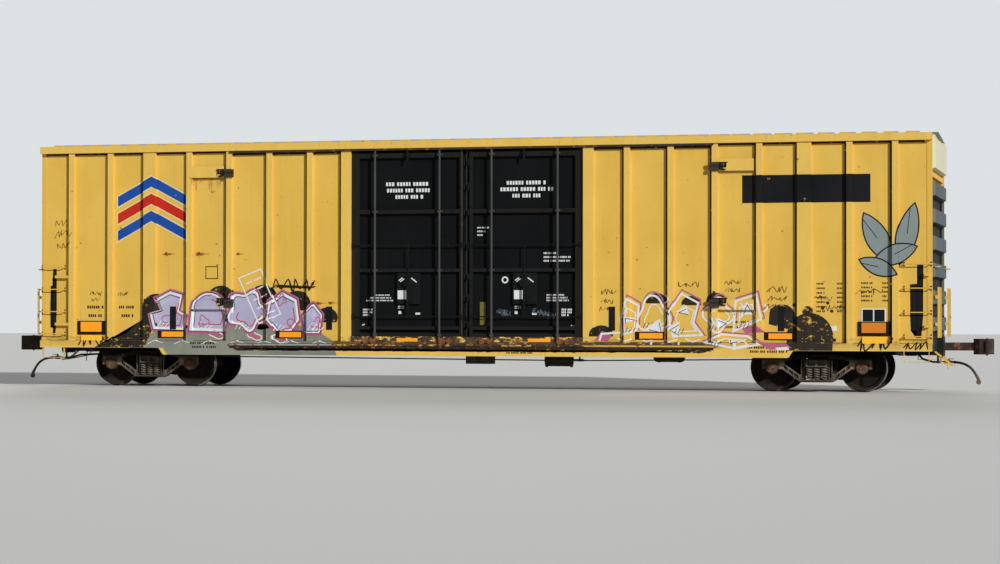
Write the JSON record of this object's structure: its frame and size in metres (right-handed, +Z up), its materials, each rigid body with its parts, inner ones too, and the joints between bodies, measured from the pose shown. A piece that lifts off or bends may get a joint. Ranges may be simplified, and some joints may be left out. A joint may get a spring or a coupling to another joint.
{
  "type": "railway boxcar",
  "caption": "Long high-roofed railway boxcar with ribbed yellow sides, twin black plug doors on each side, corner ladders and a four-wheel truck under each end.",
  "frame": {"origin": "on the floor plane that the wheel flanges touch, under the middle of the car; the rail tops are 25.4 mm higher", "axes": "+X along the car towards its A end (right in the picture), +Y towards the side away from the camera, +Z up; the B end with the hand brake is at -X"},
  "size_m": [20.83, 3.249, 5.2072],
  "materials": {
    "body_yellow": "weathered golden yellow paint",
    "door_black": "weathered black paint",
    "end_black": "weathered black paint, white at the top",
    "door_hardware": "black paint worn to brown at the joints",
    "track_rust": "dark paint with rust",
    "roof_metal": "dull galvanised sheet",
    "safety_yellow": "yellow paint, chipped at the treads",
    "underframe_steel": "black paint under brown dust",
    "brake_gear": "black paint under brown dust",
    "truck_casting": "rough casting with brown dust",
    "spring_steel": "rusty coil springs",
    "bearing_steel": "rusty bearing cups and adapters",
    "axle_steel": "brown axle",
    "wheel_steel": "brown wheels with worn bright treads",
    "cast_gear": "rusty cast steel",
    "hose_rubber": "matt black hose"
  },
  "bodies": {
    "car": {"center_sill": "underframe_steel", "yokes": "cast_gear", "end_sills": "end_black", "body_bolsters": "underframe_steel", "cross_bearers": "underframe_steel", "floor": "underframe_steel", "side_sills": "body_yellow", "side_wall_near_right": "body_yellow", "side_wall_near_left": "body_yellow", "side_wall_far_right": "body_yellow", "side_wall_far_left": "body_yellow", "top_chords": "body_yellow", "roof": "roof_metal", "end_wall_a": "end_black", "end_wall_b": "end_black", "door_near_right": "door_black", "door_near_left": "door_black", "door_far_right": "door_black", "door_far_left": "door_black", "door_rods": "door_hardware", "door_locks": "door_hardware", "door_tracks": "track_rust", "door_stops": "body_yellow", "side_ladders": "safety_yellow", "end_ladders": "safety_yellow", "sill_steps": "safety_yellow", "hand_brake": "brake_gear", "brake_step": "safety_yellow", "cut_levers": "safety_yellow", "air_reservoir": "brake_gear", "brake_cylinder": "brake_gear", "control_valve": "brake_gear", "brake_pipe": "brake_gear", "air_hose_a": "hose_rubber", "air_hose_b": "hose_rubber", "gladhands": "cast_gear", "brake_rigging": "brake_gear"},
    "truck_a": {"truck_a_side_frames": "truck_casting", "truck_a_bolster": "truck_casting", "truck_a_springs": "spring_steel", "truck_a_bearings": "bearing_steel", "truck_a_brakes": "truck_casting"},
    "truck_b": {"truck_b_side_frames": "truck_casting", "truck_b_bolster": "truck_casting", "truck_b_springs": "spring_steel", "truck_b_bearings": "bearing_steel", "truck_b_brakes": "truck_casting"},
    "wheelset_1": {"axle_1": "axle_steel", "wheels_1": "wheel_steel"},
    "wheelset_2": {"axle_2": "axle_steel", "wheels_2": "wheel_steel"},
    "wheelset_3": {"axle_3": "axle_steel", "wheels_3": "wheel_steel"},
    "wheelset_4": {"axle_4": "axle_steel", "wheels_4": "wheel_steel"},
    "coupler_a": {"coupler_a": "cast_gear"},
    "knuckle_a": {"knuckle_a": "cast_gear"},
    "coupler_b": {"coupler_b": "cast_gear"},
    "knuckle_b": {"knuckle_b": "cast_gear"}
  },
  "joints": [
    {"name": "truck_a_swivel", "type": "hinge", "parent": "car", "child": "truck_a", "pos_m": [7.0485, 0, 0.6901], "axis": [0, 0, 1], "range_deg": [-10, 10]},
    {"name": "truck_b_swivel", "type": "hinge", "parent": "car", "child": "truck_b", "pos_m": [-7.0485, 0, 0.6901], "axis": [0, 0, 1], "range_deg": [-10, 10]},
    {"name": "axle_1_roll", "type": "hinge", "parent": "truck_a", "child": "wheelset_1", "pos_m": [7.9375, 0, 0.4826], "axis": [0, 1, 0], "continuous": true},
    {"name": "axle_2_roll", "type": "hinge", "parent": "truck_a", "child": "wheelset_2", "pos_m": [6.1595, 0, 0.4826], "axis": [0, 1, 0], "continuous": true},
    {"name": "axle_3_roll", "type": "hinge", "parent": "truck_b", "child": "wheelset_3", "pos_m": [-6.1595, 0, 0.4826], "axis": [0, 1, 0], "continuous": true},
    {"name": "axle_4_roll", "type": "hinge", "parent": "truck_b", "child": "wheelset_4", "pos_m": [-7.9375, 0, 0.4826], "axis": [0, 1, 0], "continuous": true},
    {"name": "coupler_a_swing", "type": "hinge", "parent": "car", "child": "coupler_a", "pos_m": [9.1, 0, 0.9014], "axis": [0, 0, 1], "range_deg": [-13, 13]},
    {"name": "knuckle_a_open", "type": "hinge", "parent": "coupler_a", "child": "knuckle_a", "pos_m": [10.295, -0.14, 0.9014], "axis": [0, 0, -1], "range_deg": [0, 50]},
    {"name": "coupler_b_swing", "type": "hinge", "parent": "car", "child": "coupler_b", "pos_m": [-9.1, 0, 0.9014], "axis": [0, 0, 1], "range_deg": [-13, 13]},
    {"name": "knuckle_b_open", "type": "hinge", "parent": "coupler_b", "child": "knuckle_b", "pos_m": [-10.295, 0.14, 0.9014], "axis": [0, 0, -1], "range_deg": [0, 50]}
  ]
}
